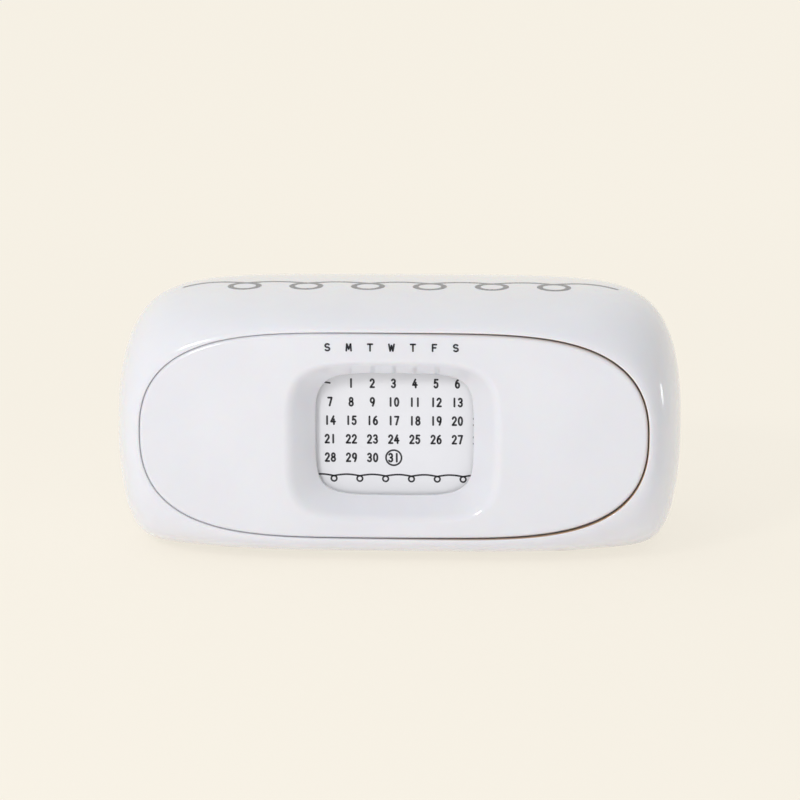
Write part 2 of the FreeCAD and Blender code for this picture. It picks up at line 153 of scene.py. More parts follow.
# Half width, reach and height of the sections of the cross recess
CROSS_CUT = ((0.36, 1.25, 0.1), (0.3, 1.15, -0.1), (0.2, 0.55, -1.05))
THREAD_CORE = 0.95
THREAD_PITCH = 0.8
THREAD_HALF = 0.3           # half of a tooth's foot, as a share of the pitch
THREAD_STEP = 0.1
FRONT_SCREW_Y = -34.35
FOOT_RADIUS = 6.5
FOOT_X = 56.0
FOOT_Y = 20.0
FOOT_RECESS = 0.8
FOOT_POINTS_ROUND = 64

# Finishes. A noise is given by its grain and its detail.
NOISE_SPAN = (0.3, 0.7)     # where most values of a noise lie
CASE_WHITE = (0.775, 0.771, 0.801)
PLASTIC_CLOUDS = (0.03, 3)
PLASTIC_SMEARS = (0.012, 4)
PLASTIC_WAVES = (0.035, 1)
PLASTIC_IOR = 1.5
SOAK_DEPTH = 0.0012         # how far light goes into the white plastic
SOAK_COLOURS = (1.0, 0.6, 0.4)
INK_NOISES = dict(cover=(0.0009, 4), smears=(0.0012, 2), skin=(0.0002, 2), skin_depth=0.000004)

# Floor and backdrop. They give light in BOUNCE and are seen in BACKGROUND.
BACKGROUND = (0.938, 0.886, 0.784)
BOUNCE = (0.94, 0.92, 0.90)
BOUNCE_GLOW = 0.20          # light of the floor's own, for the soft light from below
FLOOR_LEVEL = -0.0001
FLOOR_HALF = 4.0
FLOOR_STEPS = 24
BACKDROP_GLOW = 0.8         # share of the floor's seen colour that no shadow reaches
GLOW_CENTRE = (0, -0.3, 0)
GLOW_REACH = 1.4            # the glow grows from 1 at its centre to FAR_GLOW this far away
FAR_GLOW = 1.04
FAR_LEVEL = 0.982           # strength of the backdrop past the floor

# Light of the room, from left to right and from low to high
ROOM_SIDES = (-0.3, 1.0)
ROOM_LEFT = 0.58
ROOM_RIGHT = 0.31
ROOM_HEIGHTS = (0.2, 0.9)
ROOM_LOW = (0.98, 0.98, 1.0)
ROOM_HIGH = (1.74, 1.80, 1.87)

# Camera, with its lens and sensor in millimetres
DISTANCE = 0.9
AZIMUTH = math.radians(2.86)
ELEVATION = math.radians(12.0)
ROLL = math.radians(-0.15)
AIM = Vector((-0.00014, 0, 0.0475))
LENS = 113.4
SENSOR = 36.0
CLIP_START = 0.01

# Fineness of the shells, edges that count as sharp in degrees, and the materials of their bands
POINTS_ROUND = 384
RINGS_DEEP = 120
SHELL_EDGE = 35
SCREW_EDGE = 40
FOOT_EDGE = 50
# the third band carries the painted shade of the seam, a warm brown deep in the opening's edge
OUTER, INNER, GAP_SHADE = 0, 1, 2

FRONT_Y = -CASE_DEPTH / 2
WINDOW_Z = FRONT_CENTRE - WINDOW_DROP
RIM_Y = FRONT_Y + DISH_DEPTH


def superellipse(angle, half_width, half_height, powers):
    """The point at this angle of the curve (x / half_width) ** n + (z / half_height) ** m = 1."""
    n, m = powers
    c, s = math.cos(angle), math.sin(angle)
    total = abs(c) ** n + abs(s) ** m
    return half_width * c * total ** (-1 / n), half_height * s * total ** (-1 / m)


def turns():
    """The angles of the points of every outline."""
    return [2 * math.pi * i / POINTS_ROUND for i in range(POINTS_ROUND)]


def front_outline(y, inset):
    """Points of the opening's outline, made smaller all round by inset."""
    ring = []
    for turn in turns():
        x, z = superellipse(turn, FRONT_HALF_WIDTH - inset, FRONT_HALF_HEIGHT - inset,
                            FRONT_POWERS)
        ring.append((x, y, FRONT_CENTRE + z))
    return ring


def panel_outline(y, inset):
    """The same for the drawer front, whose gap is narrow at the left and wide at the right."""
    ring = []
    for turn in turns():
        along = superellipse(turn, 1, 1, FRONT_POWERS)[0]
        right = max(along, 0)
        gap = SEAM + SEAM_LESS * min(along, 0)
        gap += SEAM_MORE * right * (1 - SEAM_END * right ** SEAM_END_POWER)
        x, z = superellipse(turn, FRONT_HALF_WIDTH - inset - gap,
                            FRONT_HALF_HEIGHT - inset - gap, FRONT_POWERS)
        ring.append((x, y, FRONT_CENTRE + z + PANEL_RISE))
    return ring


def waist_point(turn, inset):
    """The point at this turn of the case's widest section, made smaller by inset."""
    half_width = CASE_WIDTH / 2 - inset
    if math.sin(turn) >= 0:
        x, z = superellipse(turn, half_width, CASE_TOP - CASE_WAIST - inset, CASE_TOP_POWERS)
    else:
        depth = CASE_WAIST - UNDERSIDE + CASE_SINK - inset
        x, z = superellipse(turn, half_width, depth, CASE_LOW_POWERS)
    return x, CASE_WAIST + z


def soft_floor(z, floor, reach):
    """The height z, kept above floor with a smooth turn of this reach."""
    over = z - floor
    if over > reach:
        return z
    if over < -reach:
        return floor
    return floor + (over + reach) ** 2 / (4 * reach)


def case_ring(turn_in, inset, floor, reach):
    """One section of the case. turn_in runs from 0 at the front to pi at the back."""
    half_depth = CASE_DEPTH / 2 - inset
    cosine = math.cos(turn_in)
    along = -math.copysign(abs(cosine) ** (2 / CASE_PLAN_POWER), cosine)
    swell = max(0, math.sin(turn_in)) ** (2 / CASE_PLAN_POWER)
    ring = []
    for turn, (x0, _, z0) in zip(turns(), front_outline(0, inset - RIM_LAND)):
        x1, z1 = waist_point(turn, inset)
        z = soft_floor(z0 + (z1 - z0) * swell, floor, reach)
        ring.append((x0 + (x1 - x0) * swell, half_depth * along, z))
    return ring


# ---------------------------------------------------------------- mesh helpers

def add_rings(bm, rings, bands=None, closed=False, start_cap=False, end_cap=False):
    """Quads between rings that hold the same number of points. bands gives each band's material."""
    loops = []
    for ring in rings:
        loops.append([bm.verts.new((x * MM, y * MM, z * MM)) for x, y, z in ring])
    pairs = list(zip(loops, loops[1:]))
    if closed:
        pairs.append((loops[-1], loops[0]))
    for k, (lower, upper) in enumerate(pairs):
        for i in range(len(lower)):
            j = (i + 1) % len(lower)
            face = bm.faces.new((lower[i], lower[j], upper[j], upper[i]))
            face.material_index = bands[k] if bands else 0
    if start_cap:
        bm.faces.new(loops[0]).material_index = bands[0] if bands else 0
    if end_cap:
        bm.faces.new(loops[-1]).material_index = bands[-1] if bands else 0


def circle(radius, centre, axis, count=48):
    """Points of a circle round centre, across the axis z or y."""
    x, y, z = centre
    points = []
    for i in range(count):
        a = 2 * math.pi * i / count
        c, s = radius * math.cos(a), radius * math.sin(a)
        points.append((x + c, y + s, z) if axis == "z" else (x + c, y, z + s))
    return points


def rounded_plan(half_width, half_depth, corner, z, steps=16):
    """A rectangle with round corners in the plane z."""
    points = []
    for k, (sx, sy) in enumerate(((1, 1), (-1, 1), (-1, -1), (1, -1))):
        for i in range(steps + 1):
            a = math.pi / 2 * (k + i / steps)
            x = sx * (half_width - corner) + corner * math.cos(a)
            y = sy * (half_depth - corner) + corner * math.sin(a)
            points.append((x, y, z))
    return points


def quarter(radius, steps):
    """Offsets (side, deep) of a quarter round that starts flat and ends along the side."""
    offsets = []
    for i in range(steps + 1):
        a = math.pi / 2 * i / steps
        offsets.append((radius * (1 - math.sin(a)), radius * (1 - math.cos(a))))
    return offsets


def write_mesh(bm, mesh, smooth=True):
    """Turns the faces outwards, writes them into the mesh and frees them."""
    bmesh.ops.recalc_face_normals(bm, faces=bm.faces)
    for face in bm.faces:
        face.smooth = smooth
    bm.to_mesh(mesh)
    bm.free()


def mesh_object(name, bm, smooth=True):
    """A new piece with these faces."""
    mesh = bpy.data.meshes.new(name)
    write_mesh(bm, mesh, smooth)
    piece = bpy.data.objects.new(name, mesh)
    bpy.context.scene.collection.objects.link(piece)
    return piece


def sharpen(piece, angle):
    """Marks the edges that turn by more than this angle in degrees as sharp."""
    bm = bmesh.new()
    bm.from_mesh(piece.data)
    for edge in bm.edges:
        even = edge.calc_face_angle(0) < math.radians(angle)
        edge.smooth = len(edge.link_faces) == 2 and even
    bm.to_mesh(piece.data)
    bm.free()


def carve(piece, cutter):
    """Cuts the cutter out of the piece and removes it."""
    modifier = piece.modifiers.new("cut", "BOOLEAN")
    modifier.operation = "DIFFERENCE"
    modifier.solver = "EXACT"
    modifier.object = cutter
    graph = bpy.context.evaluated_depsgraph_get()
    cut = bpy.data.meshes.new_from_object(piece.evaluated_get(graph), depsgraph=graph)
    piece.modifiers.clear()
    old = piece.data
    piece.data = cut
    bpy.data.meshes.remove(old)
    bpy.data.objects.remove(cutter)


def give(piece, body, material_slot, *materials):
    """Puts the piece on a body of the assembly, with its finishes. material_slot is not used."""
    for material in materials:
        piece.data.materials.append(material)
    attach(piece, body)


# ---------------------------------------------------------------- materials

def principled(material):
    return material.node_tree.nodes["Principled BSDF"]


def noise(nodes, links, place, size, detail):
    """A noise whose grain is about size metres."""
    mapping = nodes.new("ShaderNodeMapping")
    mapping.inputs["Scale"].default_value = (1 / size, 1 / size, 1 / size)
    links.new(place, mapping.inputs["Vector"])
    texture = nodes.new("ShaderNodeTexNoise")
    texture.inputs["Scale"].default_value = 1.0
    texture.inputs["Detail"].default_value = detail
    links.new(mapping.outputs["Vector"], texture.inputs["Vector"])
    return texture.outputs["Fac"]


def ramp(nodes, links, value, span, result=(0, 1), smooth=True):
    """Maps the value from the numbers of the span to those of the result."""
    node = nodes.new("ShaderNodeMapRange")
    node.interpolation_type = "SMOOTHSTEP" if smooth else "LINEAR"
    node.inputs["From Min"].default_value, node.inputs["From Max"].default_value = span
    node.inputs["To Min"].default_value, node.inputs["To Max"].default_value = result
    links.new(value, node.inputs["Value"])
    return node.outputs["Result"]


def blend_colours(nodes, links, factor, first, second):
    mix = nodes.new("ShaderNodeMix")
    mix.data_type = "RGBA"
    mix.inputs["A"].default_value = (*first, 1)
    mix.inputs["B"].default_value = (*second, 1)
    links.new(factor, mix.inputs["Factor"])
    return mix.outputs["Result"]


def bump(nodes, links, height, depth, before=None):
    """A normal for a relief of this depth in metres, over the one before."""
    node = nodes.new("ShaderNodeBump")
    node.inputs["Distance"].default_value = depth
    node.inputs["Strength"].default_value = 1.0
    links.new(height, node.inputs["Height"])
    if before:
        links.new(before, node.inputs["Normal"])
    return node.outputs["Normal"]


def finish(name, tones, cover, rough, smears, skin, skin_depth, waves=None, wave_depth=0.0):
    """A finish of two tones with uneven gloss and a fine skin, over slow waves where given.

    cover, smears, skin and waves are noises.
    """
    material = bpy.data.materials.new(name)
    material.use_nodes = True
    nodes, links = material.node_tree.nodes, material.node_tree.links
    shader = principled(material)
    place = nodes.new("ShaderNodeTexCoord").outputs["Object"]
    tone = ramp(nodes, links, noise(nodes, links, place, *cover), NOISE_SPAN, smooth=False)
    links.new(blend_colours(nodes, links, tone, *tones), shader.inputs["Base Color"])
    gloss = ramp(nodes, links, noise(nodes, links, place, *smears), NOISE_SPAN, rough, smooth=False)
    links.new(gloss, shader.inputs["Roughness"])
    relief = None
    if waves:
        relief = bump(nodes, links, noise(nodes, links, place, *waves), wave_depth)
    relief = bump(nodes, links, noise(nodes, links, place, *skin), skin_depth, relief)
    links.new(relief, shader.inputs["Normal"])
    return material


def moulded_plastic(name, tones, rough, grain, grain_depth, wave_depth, soak=0.0):
    """Moulded plastic: faint clouding, a skin of this grain and the slow waves of a moulding."""
    material = finish(name, tones, PLASTIC_CLOUDS, rough, PLASTIC_SMEARS, (grain, 2), grain_depth,
                      PLASTIC_WAVES, wave_depth)
    shader = principled(material)
    shader.inputs["IOR"].default_value = PLASTIC_IOR
    shader.inputs["Subsurface Weight"].default_value = soak
    shader.inputs["Subsurface Radius"].default_value = SOAK_COLOURS
    shader.inputs["Subsurface Scale"].default_value = SOAK_DEPTH
    return material


def clean_left(material, colour, reach):
    """Turns a finish into this colour towards the left end of the object."""
    nodes, links = material.node_tree.nodes, material.node_tree.links
    base = principled(material).inputs["Base Color"]
    axes = nodes.new("ShaderNodeSeparateXYZ")
    links.new(nodes.new("ShaderNodeTexCoord").outputs["Object"], axes.inputs["Vector"])
    fade = ramp(nodes, links, axes.outputs["X"], reach)
    mixed = blend_colours(nodes, links, fade, colour, colour)
    links.new(base.links[0].from_socket, mixed.node.inputs["B"])
    links.new(mixed, base)


# ---------------------------------------------------------------- case

def inner_start():
    """The angle at which the inner surface meets the plane behind the opening."""
    along = (CASE_DEPTH / 2 - RIM_DEPTH) / (CASE_DEPTH / 2 - CASE_WALL)
    return math.acos(along ** (CASE_PLAN_POWER / 2))


def wall_at(tree, x, y, z):
    """How far out the wall's inner face is from this point, along X."""
    out = Vector((math.copysign(1, x), 0, 0))
    hit, _, _, _ = tree.ray_cast(Vector((x, y, z)) * MM, out)
    return hit.x / MM


def add_case_boss(bm, tree, x, y):
    """A hollow boss on the underside for one screw, with a web to the wall beside it."""
    ring = [(BOSS_RADIUS, BASE_TOP), (BOSS_RADIUS, BASE_TOP + BOSS_HEIGHT),
            (BOSS_HOLE, BASE_TOP + BOSS_HEIGHT), (BOSS_HOLE, BASE_TOP)]
    rings = [circle(radius, (x, y, z), "z") for radius, z in ring]
    add_rings(bm, rings, bands=[INNER] * len(rings), closed=True)
    web = []
    for i in range(WEB_STEPS + 1):
        z = BASE_TOP + BOSS_WEB + (BOSS_HEIGHT - BOSS_WEB) * i / WEB_STEPS
        wall = wall_at(tree, x, y, z) + math.copysign(CASE_WALL * WEB_END, x)
        start = x + math.copysign(BOSS_RADIUS * WEB_START, x)
        web.append([(start, y - BOSS_WEB / 2, z), (wall, y - BOSS_WEB / 2, z),
                    (wall, y + BOSS_WEB / 2, z), (start, y + BOSS_WEB / 2, z)])
    add_rings(bm, web, bands=[INNER] * WEB_STEPS, start_cap=True, end_cap=True)


def build_case(outer, inner, gap):
    """Builds the case from its back round to the opening and back inside, and returns its faces."""
    rings = []
    for i in range(RINGS_DEEP, 0, -1):
        rings.append(case_ring(math.pi * i / RINGS_DEEP, 0, UNDERSIDE, UNDERSIDE_EDGE))
    rings.append(front_outline(FRONT_Y, -RIM_LAND))
    bands = [OUTER] * (len(rings) - 1)
    for side, deep in quarter(RIM_EDGE, RIM_STEPS):
        rings.append(front_outline(FRONT_Y + deep, -side))
        # the deeper part of the opening's edge gets the painted seam shade
        bands.append(OUTER if deep < GAP_SHADE_START else GAP_SHADE)
    rings.append(front_outline(FRONT_Y + GAP_SHADE_END, 0))
    rings.append(front_outline(FRONT_Y + RIM_DEPTH, 0))
    bands += [GAP_SHADE, OUTER]
    start = inner_start()
    for i in range(RINGS_DEEP + 1):
        turn_in = start + (math.pi - start) * i / RINGS_DEEP
        rings.append(case_ring(turn_in, CASE_WALL, BASE_TOP, UNDERSIDE_EDGE))
        bands.append(INNER)
    bm = bmesh.new()
    add_rings(bm, rings, bands=bands, start_cap=True, end_cap=True)
    case = mesh_object("case", bm)
    # gap is the warm brown painted shade of the seam
    for material in (outer, inner, gap):
        case.data.materials.append(material)
    tree = BVHTree.FromPolygons([v.co for v in case.data.vertices],
                                [p.vertices for p in case.data.polygons])
    cutter = bmesh.new()
    opening = [rounded_plan(BASE_HALF_WIDTH, BASE_HALF_DEPTH, BASE_CORNER, z)
               for z in (UNDERSIDE - CUT_OVER, BASE_TOP + CUT_OVER)]
    add_rings(cutter, opening, start_cap=True, end_cap=True)
    carve(case, mesh_object("cutter", cutter))
    bm = bmesh.new()
    bm.from_mesh(case.data)
    for x in (-BOSS_X, BOSS_X):
        for y in (-BOSS_Y, BOSS_Y):
            add_case_boss(bm, tree, x, y)
    write_mesh(bm, case.data)
    sharpen(case, SHELL_EDGE)
    give(case, "case", "gloss_white")
    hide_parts("case_shell")
    return tree


# ---------------------------------------------------------------- drawer front

def dish_ring(share, y, grow=0.0):
    """The recess's outline between the window, at share 0, and the face, at share 1."""
    ring = []
    for turn in turns():
        x0, z0 = superellipse(turn, WINDOW_HALF_WIDTH + grow, WINDOW_HALF_HEIGHT + grow,
                              WINDOW_POWERS)
        x1, z1 = superellipse(turn, WINDOW_HALF_WIDTH + DISH_SIDE + grow,
                              WINDOW_HALF_HEIGHT + DISH_RISE + grow, DISH_POWERS)
        z = WINDOW_Z + z0 + (z1 - z0 - DISH_DROP) * share
        ring.append((x0 + (x1 - x0) * share, y, z))
    return ring


def build_drawer_front(outer, inner):
    """Builds the front from the window up the recess, over the face and back along its inside."""
    slope = DISH_DEPTH - WINDOW_LAND
    rings = [dish_ring(0, RIM_Y)]
    for i in range(WINDOW_STEPS + 1):
        u = i / WINDOW_STEPS
        share = WINDOW_EDGE / slope * u * u
        y = RIM_Y - WINDOW_LAND + WINDOW_EDGE * (1 - u) ** 2 - slope * share
        rings.append(dish_ring(share, y))
    for i in range(1, SLOPE_STEPS + 1):
        share = DISH_FOOT + (1 - DISH_LIP - DISH_FOOT) * i / SLOPE_STEPS
        rings.append(dish_ring(share, FRONT_Y + slope * (1 - share)))
    for i in range(1, LIP_STEPS + 1):
        u = i / LIP_STEPS
        share = (1 - u) ** 2 * (1 - DISH_LIP) + 2 * u * (1 - u) + u * u * (1 + DISH_LIP)
        rings.append(dish_ring(share, FRONT_Y + slope * DISH_LIP * (1 - u) ** 2))
    for side, deep in quarter(FRONT_EDGE, FRONT_EDGE_STEPS):
        rings.append(panel_outline(FRONT_Y + deep, side))
    bands = [OUTER] * len(rings)
    rings.append(panel_outline(FRONT_Y + FRONT_DEPTH, 0))
    rings.append(panel_outline(FRONT_Y + FRONT_DEPTH, FRONT_WALL))
    rings.append(panel_outline(FRONT_Y + FRONT_WALL, FRONT_WALL))
    rings.append(dish_ring(1, FRONT_Y + FRONT_WALL, FRONT_WALL))
    rings.append(dish_ring(0, RIM_Y, FRONT_WALL))
    bands += [INNER] * (len(rings) - len(bands))
    bm = bmesh.new()
    add_rings(bm, rings, bands=bands, closed=True)
    for x in (-FRONT_BOSS_X, FRONT_BOSS_X):
        for z in (FRONT_CENTRE - FRONT_BOSS_Z, FRONT_CENTRE + FRONT_BOSS_Z):
            post = [(FRONT_BOSS_RADIUS, FRONT_Y + FRONT_WALL / 2),
                    (FRONT_BOSS_RADIUS, FRONT_Y + FRONT_DEPTH),
                    (BOSS_HOLE, FRONT_Y + FRONT_DEPTH), (BOSS_HOLE, FRONT_Y + FRONT_WALL)]
            add_rings(bm, [circle(radius, (x, y, z), "y") for radius, y in post],
                      bands=[INNER] * len(post), closed=True)
    front = mesh_object("drawer_panel", bm)
    sharpen(front, SHELL_EDGE)
    give(front, "drawer", "gloss_white", outer, inner)
    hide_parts("drawer_front")


# ---------------------------------------------------------------- print

def arc(cx, cy, rx, ry, start, end, steps=ARC_STEPS):
    """Points of a part of an ellipse round (cx, cy). Angles in degrees."""
    points = []
    for i in range(steps + 1):
        a = math.radians(start + (end - start) * i / steps)
        points.append((cx + rx * math.cos(a), cy + ry * math.sin(a)))
    return points


# Strokes of the signs in a unit square
GLYPHS = {
    "0": [arc(0.5, 0.5, 0.42, 0.5, 90, 450, ROUND)],
    "1": [[(0.5, 1.0), (0.5, 0.0)]],
    "2": [arc(0.48, 0.72, 0.40, 0.28, 165, -25) + [(0.08, 0.0), (0.92, 0.0)]],
    "3": [arc(0.45, 0.75, 0.38, 0.25, 150, -90), arc(0.45, 0.26, 0.42, 0.26, 90, -150)],
    "4": [[(0.62, 1.0), (0.04, 0.32), (0.96, 0.32)], [(0.70, 0.62), (0.70, 0.0)]],
    "5": [[(0.84, 1.0), (0.22, 1.0), (0.16, 0.56)] + arc(0.44, 0.32, 0.42, 0.32, 120, -150)],
    "6": [[(0.68, 1.0)] + arc(0.78, 0.36, 0.68, 0.62, 125, 180, 8),
          arc(0.5, 0.3, 0.40, 0.30, 180, 540, ROUND)],
    "7": [[(0.08, 1.0), (0.92, 1.0), (0.42, 0.0)]],
    "8": [arc(0.5, 0.76, 0.34, 0.24, 90, 450, ROUND), arc(0.5, 0.26, 0.42, 0.26, 90, 450, ROUND)],
    "9": [arc(0.5, 0.7, 0.40, 0.30, 0, 360, ROUND), [(0.90, 0.7), (0.84, 0.36), (0.58, 0.0)]],
    "S": [arc(0.5, 0.75, 0.40, 0.25, 35, 250) + arc(0.5, 0.25, 0.42, 0.25, 80, -145)],
    "M": [[(0.04, 0.0), (0.14, 1.0), (0.5, 0.25), (0.86, 1.0), (0.96, 0.0)]],
    "T": [[(0.06, 1.0), (0.94, 1.0)], [(0.5, 1.0), (0.5, 0.0)]],
    "W": [[(0.0, 1.0), (0.24, 0.0), (0.5, 0.8), (0.76, 0.0), (1.0, 1.0)]],
    "F": [[(0.88, 1.0), (0.16, 1.0), (0.16, 0.0)], [(0.16, 0.52), (0.74, 0.52)]],
}


def resample(points, step):
    """The same line with a point about every step."""
    line = [points[0]]
    for (x0, y0), (x1, y1) in zip(points, points[1:]):
        parts = max(1, math.ceil(math.hypot(x1 - x0, y1 - y0) / step))
        for k in range(1, parts + 1):
            line.append((x0 + (x1 - x0) * k / parts, y0 + (y1 - y0) * k / parts))
    return line


def smooth_runs(points):
    """The line in parts without a sharp corner, and whether each part is a closed ring."""
    line = points[:1]
    for point in points[1:]:
        if math.dist(point, line[-1]) > SAME_POINT:
            line.append(point)
    parts, part = [], line[:1]
    for before, at, after in zip(line, line[1:], line[2:]):
        part.append(at)
        first = math.atan2(at[1] - before[1], at[0] - before[0])
        turn = math.atan2(after[1] - at[1], after[0] - at[0]) - first
        if abs(math.remainder(turn, 2 * math.pi)) > SHARP_TURN:
            parts.append(part)
            part = [at]
    parts.append(part + line[-1:])
    rings = [len(part) > 3 and math.dist(part[0], part[-1]) < SAME_POINT for part in parts]
    return [(part[:-1] if ring else part, ring) for part, ring in zip(parts, rings)]


def ribbon_rows(line, half, ring):
    """Left and right edge points along a line, with rounded ends where it isn't a ring."""
    last = len(line) - 1
    rows = []
    for k, (u, v) in enumerate(line):
        starts, ends = not ring and k == 0, not ring and k == last
        before = line[k] if starts else line[k - 1]
        after = line[k] if ends else line[(k + 1) % len(line)]
        into = Vector((u - before[0], v - before[1]))
        out = Vector((after[0] - u, after[1] - v))
        if starts:
            into = out
        if ends:
            out = into
        into, out = into.normalized(), out.normalized()
        along = (into + out).normalized()
        reach = half / along.dot(into)
        rows.append((Vector((u, v)), along, reach))
    if not ring:
        for end, sign in ((0, -1), (-1, 1)):
            centre, along, _ = rows[end]
            caps = [(centre + along * sign * half * math.cos(turn), along, half * math.sin(turn))
                    for turn in CAP_TURNS]
            rows = caps + rows if sign < 0 else rows + caps[::-1]
    edges = []
    for centre, along, reach in rows:
        across = Vector((-along.y, along.x)) * reach
        edges.append((centre + across, centre - across))
    return edges


def add_stroke(bm, points, width, place):
    """A raised line with round ends. place turns (u, v, height) into a point in metres."""
    for line, ring in smooth_runs(points):
        loops = []
        for left, right in ribbon_rows(line, width / 2, ring):
            corners = ((left, PRINT_LIFT), (right, PRINT_LIFT),
                       (right, -PRINT_SINK), (left, -PRINT_SINK))
            loops.append([bm.verts.new(place(point.x, point.y, height))
                          for point, height in corners])
        if ring:
            loops.append(loops[0])
        else:
            bm.faces.new(loops[0])
            bm.faces.new(loops[-1])
        for lower, upper in zip(loops, loops[1:]):
            for i in range(4):
                j = (i + 1) % 4
                bm.faces.new((lower[i], lower[j], upper[j], upper[i]))


def add_glyph(bm, sign, centre, size, stroke, place):
    """The strokes of one sign, of this size round centre."""
    for line in GLYPHS[sign]:
        points = [(centre[0] + (x - 0.5) * size[0], centre[1] + (y - 0.5) * size[1])
                  for x, y in line]
        add_stroke(bm, points, stroke, place)


def column_x(column):
    """The middle of a column of the date plate, with the plate at rest."""
    return SHOWN_OFFSET + (column - FIRST_COLUMN_SHOWN - (COLUMNS_SHOWN - 1) / 2) * COLUMN_PITCH


def row_z(row):
    """The middle of a row of the date plate."""
    return WINDOW_Z + FIRST_ROW_RISE - row * ROW_PITCH


def on_plate(u, v, height):
    """The point this high over the date plate's face."""
    return u * MM, (PLATE_FACE - height) * MM, v * MM


def on_front(u, v, height):
    """The point this high over the drawer front's face."""
    return u * MM, (FRONT_Y - height) * MM, v * MM


def loop_line(x0, x1, level, pitch, radius, arch):
    """A running line of low arches with a full round loop hanging between each two."""
    count = max(1, round((x1 - x0) / pitch))
    pitch = (x1 - x0) / count
    points = []
    for k in range(count):
        for i in range(ARCH_STEPS + 1):
            u = i / ARCH_STEPS
            points.append((x0 + pitch * (k + u), level + arch * math.sin(math.pi * u)))
        if k == count - 1:
            break
        for i in range(1, LOOP_STEPS):
            turn = 2 * math.pi * i / LOOP_STEPS
            points.append((x0 + pitch * (k + 1) + radius * math.sin(turn),
                           level - radius * (1 - math.cos(turn))))
    return points


def build_dates(black):
    """The dates in each column that may show, and the looped lines in the places left free."""
    bm = bmesh.new()
    for row in range(ROWS):
        for column in range(COLUMNS):
            date = COLUMNS_SHOWN * row + column - FIRST_COLUMN_SHOWN
            if not 1 <= date <= LAST_DATE:
                continue
            signs = str(date)
            x, z = column_x(column), row_z(row)
            for k, sign in enumerate(signs):
                shift = (k - (len(signs) - 1) / 2) * DIGIT_STEP
                add_glyph(bm, sign, (x + shift, z), DIGIT_SIZE, DIGIT_STROKE, on_plate)
            if date == LAST_DATE:
                ring = arc(x, z, RING_RADIUS, RING_RADIUS, 0, 360, RING_STEPS)
                add_stroke(bm, ring, RING_STROKE, on_plate)
    half = COLUMN_PITCH / 2
    free = LAST_DATE + 1 + FIRST_COLUMN_SHOWN - COLUMNS_SHOWN * (ROWS - 1)
    for row, first, last in ((ROWS - 1, column_x(free) - half, column_x(COLUMNS - 1) + half),
                             (0, column_x(0) - half, column_x(FIRST_COLUMN_SHOWN))):
        line = loop_line(first, last, row_z(row), LOOP_PITCH, LOOP_RADIUS, LOOP_ARCH)
        add_stroke(bm, line, RING_STROKE, on_plate)
    dates = mesh_object("printed_dates", bm, smooth=False)
    give(dates, "date_plate", "plate_white", black)


def build_weekdays(black):
    """The weekday letters over the window."""
    bm = bmesh.new()
    for k, sign in enumerate("SMTWTFS"):
        x = SHOWN_OFFSET + (k - (COLUMNS_SHOWN - 1) / 2) * LETTER_PITCH
        centre = (x, FRONT_CENTRE + LETTER_RISE)
        add_glyph(bm, sign, centre, LETTER_SIZE, LETTER_STROKE, on_front)
    days = mesh_object("printed_weekdays", bm, smooth=False)
    give(days, "drawer", "gloss_white", black)


def build_top_line(tree, grey):
    """The looped line that runs along the case's top."""
    def on_top(u, v, height):
        above, down = Vector((u, v, 2 * CASE_TOP)) * MM, Vector((0, 0, -1))
        hit, normal, _, _ = tree.ray_cast(above, down)
        return hit + normal * height * MM

    line = loop_line(-TOP_LINE_HALF, TOP_LINE_HALF, TOP_LINE_Y, TOP_LINE_PITCH, TOP_LINE_RADIUS,
                     TOP_LINE_ARCH)
    bm = bmesh.new()
    add_stroke(bm, resample(line, TOP_LINE_STEP), TOP_LINE_STROKE, on_top)
    piece = mesh_object("printed_line", bm, smooth=False)
    give(piece, "case", "gloss_white", grey)


# ---------------------------------------------------------------- screws and feet

def screw_radius(depth, turn):
    """Radius of the threaded shank this far below the head's top, at this turn round it."""
    phase = (depth / THREAD_PITCH + turn / (2 * math.pi)) % 1
    tooth = max(0, 1 - abs(phase - 0.5) / THREAD_HALF)
    reach = min(1, (SCREW_TOTAL - depth) / SCREW_POINT)
    return reach * (THREAD_CORE + (SCREW_RADIUS - THREAD_CORE) * tooth)


def build_screw():
    """A pan-head screw with a cross recess, its head's top at the origin and its shank along -Z."""
    profile = [(0.02, 0.0), (0.8, -0.03), (1.4, -0.1), (1.8, -0.22), (2.05, -0.42), (2.17, -0.7),
               (SCREW_HEAD_RADIUS, -1.0), (SCREW_HEAD_RADIUS, -SCREW_HEAD_HEIGHT + 0.1),
               (SCREW_HEAD_RADIUS - 0.1, -SCREW_HEAD_HEIGHT), (SCREW_RADIUS, -SCREW_HEAD_HEIGHT)]
    rings = [circle(radius, (0, 0, z), "z", SCREW_POINTS_ROUND) for radius, z in profile]
    depth = SCREW_HEAD_HEIGHT + THREAD_STEP
    while depth < SCREW_TOTAL - THREAD_STEP / 2:
        ring = []
        for i in range(SCREW_POINTS_ROUND):
            turn = 2 * math.pi * i / SCREW_POINTS_ROUND
            radius = screw_radius(depth, turn)
            ring.append((radius * math.cos(turn), radius * math.sin(turn), -depth))
        rings.append(ring)
        depth += THREAD_STEP
    bm = bmesh.new()
    add_rings(bm, rings, start_cap=True, end_cap=True)
    screw = mesh_object("screw", bm)
    for turn in (0, math.pi / 2):
        rings = []
        c, s = math.cos(turn), math.sin(turn)
        for half, long, z in CROSS_CUT:
            corners = ((long, half), (-long, half), (-long, -half), (long, -half))
            rings.append([(x * c - y * s, x * s + y * c, z) for x, y in corners])
        cutter = bmesh.new()
        add_rings(cutter, rings, start_cap=True, end_cap=True)
        carve(screw, mesh_object("cutter", cutter))
    return screw


